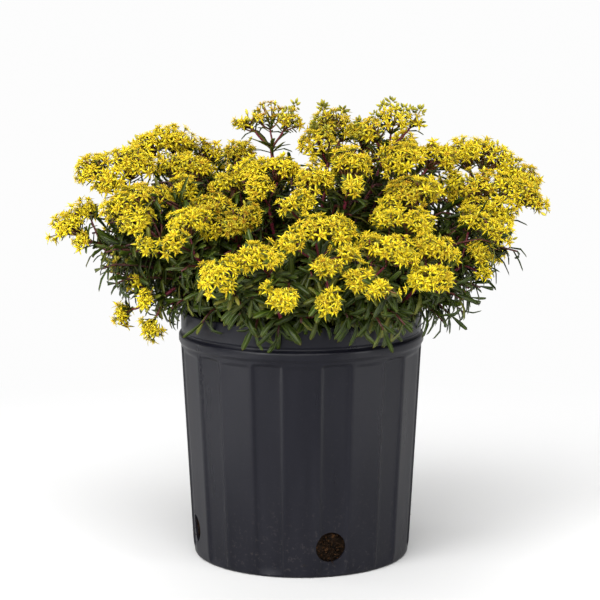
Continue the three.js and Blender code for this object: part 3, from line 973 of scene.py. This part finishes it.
def side_stem(main, hub, at):
    """A side stem leaves the main one part of the way up."""
    start, along = curve_at(main, at)
    end = stem_end(hub)
    run = np.linalg.norm(end - start)
    return np.array([start, start + along * STEM_EASE * run, end - hub[1] * STEM_EASE * run, end])


# Leaves

def leaves_on(growth, points, start, spacing, rng, hang, shape):
    """Leaves that follow the golden angle up a stem from start, arching outward and down."""
    turn = rng.uniform(0, 6)
    fine = bezier(points, 101)
    run = np.concatenate([[0], np.cumsum(np.linalg.norm(np.diff(fine, axis=0), axis=1))])
    places = np.arange(start * run[-1], run[-1], spacing)
    if not len(places):
        return
    count = len(places)
    root = np.stack([np.interp(places, run, fine[:, k]) for k in range(3)], axis=1)
    tangents = unit(np.gradient(fine, axis=0))
    along = unit(np.stack([np.interp(places, run, tangents[:, k]) for k in range(3)], axis=1))
    outward = round_about(along, turn + GOLDEN_ANGLE * np.arange(count) + rng.normal(0, 0.25, count))
    rise = np.radians(rng.uniform(*LEAF_RISE, count))[:, None]
    heading = unit(np.cos(rise) * outward + np.sin(rise) * along - hang * UP)
    size = rng.uniform(*LEAF_LENGTH, count) * np.where(places > places[-1] - 3 * spacing, 0.8, 1)
    growth.blades(
        root, heading, along + 0.35 * UP, size, np.radians(rng.uniform(0, 22, count)),
        -np.radians(rng.uniform(*LEAF_CURL, count)), size * rng.uniform(*LEAF_BREADTH, count),
        rng.uniform(*LEAF_THICKNESS, count), shape, np.clip(rng.normal(0.5, 0.22, count), 0, 1.1),
        np.clip(rng.normal(-0.25, 0.3, count), 0, 0.8))


def bracts(growth, point, axis, rng, count, length):
    """Small leaves in a loose ring where stalks part."""
    out = round_about(axis, GOLDEN_ANGLE * np.arange(count) + rng.uniform(0, 2 * math.pi))
    heading = unit(out + axis * rng.uniform(0.2, 1.2, (count, 1)))
    size = rng.uniform(*length, count)
    growth.blades(
        point + axis * rng.uniform(-3, 3, (count, 1)), heading, axis + 0 * out, size, 0.2,
        -rng.uniform(0.2, 1.3, count), size * rng.uniform(*BRACT_BREADTH, count), BRACT_THICKNESS,
        SMALL_LEAF, rng.uniform(0.4, 1.1, count), np.clip(rng.normal(0.05, 0.3, count), 0, 0.8))


# Flowers

def flower_petals(growth, centre, facing, size, opening, spin, tone, age, rng, shape=PETAL):
    count = len(centre)
    for j in range(PETALS):
        out = round_about(facing, spin + 2 * math.pi * j / PETALS + rng.normal(0, 0.07, count))
        growth.blades(
            centre + out * 0.35, out, facing, size * rng.uniform(*PETAL_LENGTH, count),
            opening + rng.normal(0, 0.1, count), -rng.uniform(0.1, 0.75, count),
            size * rng.uniform(*PETAL_WIDTH, count), PETAL_THICKNESS, shape,
            tone + rng.normal(0, 0.1, count), age)


def flower_middles(growth, centre, facing, size, opening, spin, tone, age, rng):
    count = len(centre)
    for j in range(STAMENS_EACH):
        out = round_about(facing, spin + 2 * math.pi * j / STAMENS_EACH + rng.normal(0, 0.08, count))
        growth.blades(
            centre + out * 0.5, out, facing, size * rng.uniform(*STAMEN_LENGTH, count),
            opening + np.radians(rng.uniform(*STAMEN_LIFT, count)), rng.uniform(-0.1, 0.35, count),
            STAMEN_WIDTH, STAMEN_WIDTH, STAMEN, tone, 0.4 * age)
    for j in range(CARPELS):
        out = round_about(facing, spin + 2 * math.pi * (j + 0.5) / CARPELS)
        growth.blades(
            centre + out * 0.3, out, facing, size * CARPEL_LENGTH, CARPEL_LIFT, CARPEL_CURL,
            CARPEL_WIDTH, CARPEL_WIDTH, CARPEL, tone, age)


def calyxes(growth, centre, facing, rng):
    """The green cup of five short sepals under each flower."""
    count = len(centre)
    growth.blades(
        centre - facing * CALYX_DEPTH, facing, any_side(facing), CALYX_DEPTH, 0, 0, CALYX_WIDTH,
        CALYX_WIDTH, CALYX, rng.uniform(0.2, 0.8, count), np.full(count, 0.1))


class Head:
    """A head of flowers: domed clusters that run together into one broad, lumpy skin."""

    def __init__(self, domes, hub):
        self.hub = hub[0]
        self.middles = np.array([dome[:3] for dome in domes], dtype=float)
        self.halves = np.array([dome[3] for dome in domes]) / 2
        from_hub = self.middles - self.hub
        self.axes = unit(unit(from_hub) + HEAD_UPRIGHT * UP)
        depth = np.minimum(0.9 * self.halves, 0.5 * np.linalg.norm(from_hub, axis=1))
        self.bases = self.middles - unit(from_hub) * depth[:, None]

    def distances(self, points):
        """How far points are from each dome's middle, where 1 is on its skin."""
        away = points[:, None] - self.middles
        rise = np.sum(away * self.axes, axis=-1)
        flat = np.sqrt(np.maximum(np.sum(away ** 2, axis=-1) - rise ** 2, 0))
        return np.hypot(flat / self.halves, rise / (DOME_DEPTH * self.halves))

    def filled(self, points):
        """Above 1 inside the skin where the domes run together, and below 1 outside it."""
        return np.sum(self.distances(points) ** -MERGE_POWER, axis=1)

    def outward(self, points):
        """The way out of the skin at each point."""
        steps = np.eye(3) * 0.4
        slopes = [self.filled(points - step) - self.filled(points + step) for step in steps]
        return unit(np.stack(slopes, axis=1))

    def skin(self, rng, tries):
        """Random points on the skin, each with the dome that it belongs to."""
        owner = rng.permutation(np.repeat(np.arange(len(self.middles)), tries))
        count = len(owner)
        axis = self.axes[owner]
        sideways = round_about(axis, rng.uniform(0, 2 * math.pi, count))
        height = 1 - DOME_WRAP * rng.uniform(0, 1, (count, 1))
        broad = np.sqrt(1 - height ** 2) * sideways
        ray = self.halves[owner][:, None] * (broad + DOME_DEPTH * height * axis)
        middle = self.middles[owner]
        low, high = np.ones((count, 1)), np.full((count, 1), MERGE_REACH)
        closed = self.filled(middle + ray * high) < 1
        for _ in range(10):
            between = (low + high) / 2
            inside = self.filled(middle + ray * between)[:, None] > 1
            low = np.where(inside, between, low)
            high = np.where(inside, high, between)
        points = middle + ray * low
        own = np.argmin(self.distances(points), axis=1) == owner
        return points[closed & own], owner[closed & own]


def spaced(points, pitch):
    """Which points stay when no two may be nearer to each other than the pitch."""
    kept = [0]
    for i in range(1, len(points)):
        gaps = points[kept] - points[i]
        if np.min(np.sum(gaps * gaps, axis=1)) >= pitch ** 2:
            kept.append(i)
    return np.array(kept)


def stalks(growth, start, end, facing, rng, radius, green, stations=3):
    """Thin stalks that leave start and come up to end along its facing."""
    count = len(end)
    points = np.stack([start, start + (end - start) * 0.4, end - facing * 2, end], axis=1)
    growth.rods(
        bezier(points, stations), np.full((count, stations), radius), 3,
        rng.uniform(0.3, 1.0, count), green * np.ones(count))


def buds_at(growth, place, facing, rng, ripe):
    count = len(place)
    bulk = rng.uniform(0.7, 1.15, count)
    growth.blades(
        place - facing * BUD_SEAT * bulk[:, None], facing, any_side(facing), BUD_LENGTH * bulk, 0, 0,
        BUD_WIDTH * bulk, BUD_WIDTH * bulk, BUD, rng.uniform(0, 1, count), rng.uniform(0, ripe, count))


def bud_sprigs(pieces, start, place, outward, rng):
    """Small bunches of closed buds that stand up above the open flowers."""
    tip = place + outward * rng.uniform(0, 5, (len(place), 1))
    stalks(pieces["stems"], start, tip, outward, rng, SPRIG_RADIUS, 0.7)
    for j in range(BUDS_IN_SPRIG):
        around = round_about(outward, GOLDEN_ANGLE * j + rng.normal(0, 0.2, len(place)))
        height = 1 - j / 6
        facing = unit(math.sqrt(max(0, 1 - height ** 2)) * around + height * outward)
        buds_at(pieces["buds"], tip + facing * SPRIG_REACH, facing, rng, 0.5)


def shaded_blossom(pieces, head, points, owner, upper, rng):
    """The flowers that open lower down, in the gaps between the upper ones."""
    gaps = np.min(np.linalg.norm(points[:, None] - points[upper], axis=-1), axis=1)
    open_places = np.flatnonzero(gaps > SHADED_GAP)
    if not len(open_places):
        return
    kept = open_places[spaced(points[open_places], SHADED_PITCH)]
    count = len(kept)
    outward = head.outward(points[kept])
    centre = points[kept] - outward * rng.uniform(*SHADED_DEPTH, (count, 1))
    facing = unit(outward + 0.4 * UP + rng.normal(0, 0.25, (count, 3)))
    base = head.bases[owner[kept]]
    stalks(pieces["stems"], base, centre - facing, facing, rng, STALK_RADIUS, 0.3, stations=2)
    opening = np.radians(rng.normal(24, 8, count))
    flower_petals(
        pieces["petals"], centre, facing, rng.uniform(0.8, 1.0, count), opening,
        rng.uniform(0, 2 * math.pi, count), rng.uniform(0.3, 0.7, count),
        rng.uniform(0, 0.3, count), rng, SHADED_PETAL)
    calyxes(pieces["buds"], centre, facing, rng)


def branches(pieces, head, centre, owner, rng):
    """The branches of a head with their forks and bracts. Gives the fork that carries each flower."""
    stems, leaves = pieces["stems"], pieces["leaves"]
    forks = np.zeros(centre.shape)
    for i, (base, axis) in enumerate(zip(head.bases, head.axes)):
        bend = head.hub + (base - head.hub) * 0.4 + rng.normal(0, 1.5, 3)
        branch = np.array([head.hub, bend, base - axis * 3, base])
        stems.rods(bezier(branch, 6)[None], np.linspace(*BRANCH_RADII, 6)[None], 6, rng.uniform(0.3, 0.9, 1))
        bracts(leaves, base, axis, rng, 6, BRANCH_BRACT_LENGTH)
        members = np.flatnonzero(owner == i)
        if not len(members):
            continue
        chosen = members[::5]
        fork = base + (centre[chosen] - base) * rng.uniform(0.42, 0.6, (len(chosen), 1))
        stalks(stems, base + 0 * fork, fork, axis + 0 * fork, rng, FORK_RADIUS, 0.15)
        for place, way in zip(fork, unit(fork - base)):
            bracts(leaves, place, way, rng, 2, FORK_BRACT_LENGTH)
        gaps = np.linalg.norm(centre[members][:, None] - fork, axis=-1)
        forks[members] = fork[np.argmin(gaps, axis=1)]
    return forks


def flower_head(pieces, domes, hub, rng, bud_share, greenness, sprigs):
    """One head: its branches, their finer stalks, and the flowers and buds on its skin."""
    head = Head(domes, hub)
    points, owner = head.skin(rng, SKIN_TRIES)
    at_back = np.mean(head.middles[:, 1]) > BACK_BEYOND_Y
    kept = spaced(points, BACK_FLOWER_PITCH if at_back else FLOWER_PITCH)
    if bud_share < SHADED_BUD_SHARE and not at_back:
        shaded_blossom(pieces, head, points, owner, kept, rng)
    points, owner = points[kept], owner[kept]
    outward = head.outward(points)
    count = len(points)
    lumps = np.array([noise.noise(Vector(point / LUMP_SIZE)) for point in points])
    offset = LUMP_HEIGHT * lumps + rng.normal(0, 1.5, count) - PETAL_OVERHANG
    centre = points + outward * offset[:, None]
    facing = unit(outward + 0.5 * UP + rng.normal(0, 0.28, (count, 3)))
    forks = branches(pieces, head, centre, owner, rng)

    is_bud = rng.uniform(0, 1, count) < bud_share
    buds_at(pieces["buds"], centre[is_bud], facing[is_bud], rng, 0.9)
    green = np.clip(rng.normal(0.4, 0.2, count), 0, 1)
    stalks(pieces["stems"], forks, centre - facing, facing, rng, STALK_RADIUS, green)
    raised = np.flatnonzero(outward[:, 2] > 0.75)[:sprigs]
    if len(raised):
        bud_sprigs(pieces, forks[raised], centre[raised], outward[raised], rng)

    dome_age = rng.uniform(0, 0.45, len(domes))[owner]
    dome_green = greenness * rng.uniform(0, 1.6, len(domes))[owner]
    size = rng.uniform(0.88, 1.1, count)
    opening = np.radians(np.clip(rng.normal(20, 12, count), -6, 62))
    spin = rng.uniform(0, 2 * math.pi, count)
    age = np.clip(dome_age + rng.normal(0, 0.15, count) + 0.5 * dome_green, 0, 0.9)
    tone = np.clip(rng.normal(0.5, 0.2, count), 0, 1) - 0.35 * dome_green
    flowers = [values[~is_bud] for values in (centre, facing, size, opening, spin, tone, age)]
    flower_petals(pieces["petals"], *flowers, rng)
    flower_middles(pieces["middles"], *flowers, rng)
    calyxes(pieces["buds"], *flowers[:2], rng)


# Each younger head as its share of buds, the greenness of its petals and its bunches of closed buds
IN_FULL_BLOOM = (0.06, 0.0, 0)
YOUNGER_HEADS = {
    "top_left_1": (0.5, 0.6, 2), "top_left_2": (0.35, 0.7, 0), "top_1": (0.36, 0.5, 6),
    "top_right_1": (0.42, 0.45, 8), "top_back": (0.2, 0.2, 0), "left_1": (0.1, 0.35, 0),
    "left_2": (0.25, 0.1, 0), "left_3": (0.75, 0.5, 2), "upper_left_1": (0.1, 0.4, 0),
    "upper_left_2": (0.12, 0.75, 0), "far_left_1": (0.1, 0.0, 0), "right_1": (0.25, 0.3, 0),
    "far_right_1": (0.12, 0.2, 0), "middle_right_1": (0.12, 0.35, 0),
}


def head_names(name, heads):
    if len(heads) == 1:
        return [name]
    return [f"{name}_{i + 1}" for i in range(len(heads))]


def build_shoot(name, heads, seed):
    """A leafy stem, forked where it carries two or more heads, with its heads of flowers."""
    rng = np.random.default_rng(seed)
    pieces = {key: Growth() for key in ("stems", "leaves", "petals", "middles", "buds")}
    hubs = [hub_of(domes) for domes in heads]
    main = main_stem(hubs[0])
    curves = [main] + [side_stem(main, hub, FIRST_FORK - FORK_STEP * i) for i, hub in enumerate(hubs[1:])]
    for points, (hub, way) in zip(curves, hubs):
        path = np.concatenate([bezier(points, 18), [hub, hub + way]])
        radii = np.concatenate([np.linspace(*STEM_RADII, 18), STEM_NECK_RADII])
        pieces["stems"].rods(path[None], radii[None], 8, rng.uniform(0.2, 0.8, 1))
        leaves_on(pieces["leaves"], points, 0.22, LEAF_SPACING, rng, hang=0.1, shape=LEAF)
        bracts(pieces["leaves"], hub, way, rng, 12, HUB_BRACT_LENGTH)
    names = head_names(name, heads)
    for head_name, domes, hub in zip(names, heads, hubs):
        flower_head(pieces, domes, hub, rng, *YOUNGER_HEADS.get(head_name, IN_FULL_BLOOM))
    head_nodes = [f"flower_head_{head_name}" for head_name in names]
    pieces["stems"].piece(f"stems_{name}", RED_STEM, "red_stem", [f"shoot_{name}"])
    pieces["leaves"].piece(f"leaves_{name}", LEAVES, "leafy_stem", [f"shoot_{name}"])
    pieces["petals"].piece(f"petals_{name}", BLOSSOM, "blossom", head_nodes)
    pieces["middles"].piece(f"flower_middles_{name}", STAMENS, "blossom", head_nodes)
    pieces["buds"].piece(f"buds_{name}", BUDS, "flower_bud", head_nodes)


# Low leafy shoots that fill the clump and hang over the rim

# Each tier as how far out its shoots reach and how high they end
FRONT_TIERS = (
    ((86, 100), (168, 182)), ((84, 106), (186, 206)), ((56, 88), (200, 222)), ((82, 112), (198, 216)),
    ((18, 66), (214, 244)),
)
LOW_TIERS = (
    ((86, 100), (168, 182)), ((84, 106), (186, 206)), ((56, 88), (205, 232)), ((80, 112), (214, 236)),
    ((18, 66), (236, 264)),
)
SIDE_TIERS = (((108, 134), (214, 240)), ((104, 126), (190, 210)), ((112, 132), (198, 216)))
HIGH_TIERS = (((72, 108), (236, 254)), ((106, 128), (234, 252)), ((98, 120), (248, 260)))
TOP_TIERS = (((84, 104), (254, 264)),)
DROOPING_TIERS = (((100, 118), (172, 188)), ((114, 128), (184, 204)))
LEFT_TIERS = (((120, 138), (188, 208)), ((122, 140), (208, 230)))
OUTER_TIERS = (((134, 148), (204, 228)),)

# The eight sectors round the crown, from the front towards +X
SECTOR_ANGLE = 45
SECTOR_TIERS = {
    "front": FRONT_TIERS,
    "front_right": FRONT_TIERS + DROOPING_TIERS,
    "right": LOW_TIERS + SIDE_TIERS + DROOPING_TIERS + OUTER_TIERS,
    "back_right": LOW_TIERS + SIDE_TIERS + HIGH_TIERS + TOP_TIERS,
    "back": LOW_TIERS,
    "back_left": LOW_TIERS + SIDE_TIERS + HIGH_TIERS + TOP_TIERS,
    "left": LOW_TIERS + SIDE_TIERS + HIGH_TIERS + LEFT_TIERS + OUTER_TIERS,
    "front_left": FRONT_TIERS,
}


def build_low_growth(sector, turns, tiers, rng):
    stems, leaves = Growth(), Growth()
    for turn in turns:
        out = way_out(turn)
        for reaches, heights in tiers:
            foot = out * rng.uniform(24, 42) + UP * (CROWN_TOP_Z - 2)
            reach = rng.uniform(*reaches)
            height = rng.uniform(*heights)
            sway = np.cross(UP, out) * rng.normal(0, 7)
            end = out * reach + sway + UP * height
            over = out * (reach - 14) + sway + UP * max(height + 12, POT_HEIGHT + 22)
            points = np.array([foot, foot + UP * rng.uniform(22, 34), over, end])
            radii = np.linspace(*LOW_STEM_RADII, 9)
            # Painted shade: the low stems are toned much darker than the upper ones, as shade low in the
            # clump.
            stems.rods(bezier(points, 9)[None], radii[None], 5, rng.uniform(-0.6, 0, 1), np.array([0.1]))
            leaves_on(leaves, points, 0.3, LOW_LEAF_SPACING, rng, hang=0.4, shape=SMALL_LEAF)
    stems.piece(f"low_stems_{sector}", RED_STEM, "red_stem")
    leaves.piece(f"low_leaves_{sector}", LEAVES, "leafy_stem")


# Studio

def build_floor():
    """White paper with a painted shade band before the pot, painted darker to glossy rays as a painted
    reflection in the pot, and glowing white beyond it where the camera looks at it.
    """
    paper = Finish("studio paper")
    place = paper.place()
    before_pot = paper.mapped(paper.coordinate(place, "Y"), (-2.0, 0.0))
    # Painted shade: a band of darker paper before the pot, there for the pot to reflect.
    painted_shade_band = paper.ramp(before_pot, (
        (0.15, (0, 0, 0)), (0.4, (1, 1, 1)), (0.76, (1, 1, 1)), (0.98, (0, 0, 0)),
    ))
    rays = paper.node("ShaderNodeLightPath").outputs
    # Painted reflection: the paper is darker to glossy rays only, so the pot reflects a dimmer floor than
    # the camera sees.
    darker_in_reflections = paper.mix(rays["Is Glossy Ray"], (0.61, 0.61, 0.61), (0.38, 0.38, 0.38))
    shade = paper.mix(painted_shade_band, darker_in_reflections, (0.35, 0.35, 0.35))
    away = paper.node("ShaderNodeVectorMath", operation="LENGTH")
    paper.feed(away.inputs[0], place)
    far = paper.mapped(away.outputs["Value"], (0.26, 0.62), kind="SMOOTHSTEP")
    overexposed = paper.math("MULTIPLY", far, rays["Is Camera Ray"])
    black = (0.0, 0.0, 0.0)
    glow = paper.mix(overexposed, black, (0.98, 0.98, 0.98))
    paper.feed(paper.shader.inputs["Emission Color"], glow)
    paper.feed(paper.shader.inputs["Emission Strength"], 1.0)
    finish = paper.surface(paper.mix(overexposed, shade, black), roughness=0.9, specular=0.0)
    turns = 2 * math.pi * np.arange(FLOOR_SIDES) / FLOOR_SIDES
    rim = FLOOR_RADIUS * way_out(turns)
    faces = [(0, 1 + k, 1 + (k + 1) % FLOOR_SIDES) for k in range(FLOOR_SIDES)]
    mesh = triangle_mesh("studio_floor", np.concatenate([[[0, 0, 0]], rim]), np.array(faces))
    mesh.materials.append(finish)
    floor = bpy.data.objects.new("studio_floor", mesh)
    bpy.context.scene.collection.objects.link(floor)


def lamp(name, kind, place, power, aim=(0, 0, 0.15), **settings):
    """A light that is turned towards aim."""
    light = bpy.data.lights.new(name, kind)
    light.energy = power
    for key, value in settings.items():
        setattr(light, key, value)
    made = bpy.data.objects.new(name, light)
    made.location = place
    made.rotation_euler = (Vector(aim) - Vector(place)).to_track_quat("-Z", "Y").to_euler()
    bpy.context.scene.collection.objects.link(made)


def soft_box(name, place, size, power):
    lamp(name, "AREA", place, power, shape="RECTANGLE", size=size[0], size_y=size[1])


def floor_light(name, place, power):
    """A small soft light straight above the floor, whose bright patch shows in the pot's flat ribs."""
    below = (place[0], place[1] + 0.001, 0)
    lamp(name, "AREA", place, power, below, size=0.3, spread=math.radians(80))


def build_lights():
    """Even light from the top and the front, with soft boxes to each side."""
    lamp("top light", "SUN", (-0.3, -0.8, 3), 2.6, angle=math.radians(100))
    lamp("front light", "SUN", (-0.5, -2.4, 2.0), 2.7, angle=math.radians(70))
    soft_box("key light", (-1.25, -1.35, 0.75), (0.8, 1.3), 16)
    soft_box("fill light", (1.5, -1.0, 0.6), (0.5, 1.2), 9)
    soft_box("left edge light", (-1.5, 0.35, 0.5), (0.5, 1.2), 5)
    floor_light("left floor light", (-0.5, -0.24, 0.42), 3.0)
    floor_light("right floor light", (0.5, -0.24, 0.42), 2.2)
    world = bpy.data.worlds.new("studio air")
    world.use_nodes = True
    air = Nodes(world.node_tree)
    seen = air.node("ShaderNodeLightPath").outputs["Is Camera Ray"]
    background = world.node_tree.nodes["Background"]
    air.feed(background.inputs["Color"], (1, 1, 1))
    air.feed(background.inputs["Strength"], air.mapped(seen, (0.0, 1.0), (0.3, 1.0)))
    bpy.context.scene.world = world
    bpy.context.scene.view_settings.view_transform = "Standard"


def build_camera():
    """The photograph's viewpoint: level with the top of the plant, looking a little down."""
    lens = bpy.data.cameras.new("camera")
    lens.sensor_width = 36
    lens.lens = 133.1
    lens.clip_end = 30
    camera = bpy.data.objects.new("camera", lens)
    camera.location = (-0.00085, -1.5, 0.427)
    camera.rotation_euler = (math.radians(90 - 9.51), 0, 0)
    bpy.context.scene.collection.objects.link(camera)
    bpy.context.scene.camera = camera


build_camera()
build_floor()
build_lights()
build_pot()
build_soil()
build_crown()
for seed, (name, heads) in enumerate(SHOOTS.items(), start=101):
    build_shoot(name, heads, seed)
for k, (sector, tiers) in enumerate(SECTOR_TIERS.items()):
    fan = np.radians(SECTOR_ANGLE * k + np.linspace(-20, 20, 5))
    build_low_growth(sector, fan, tiers, np.random.default_rng(200 + k))
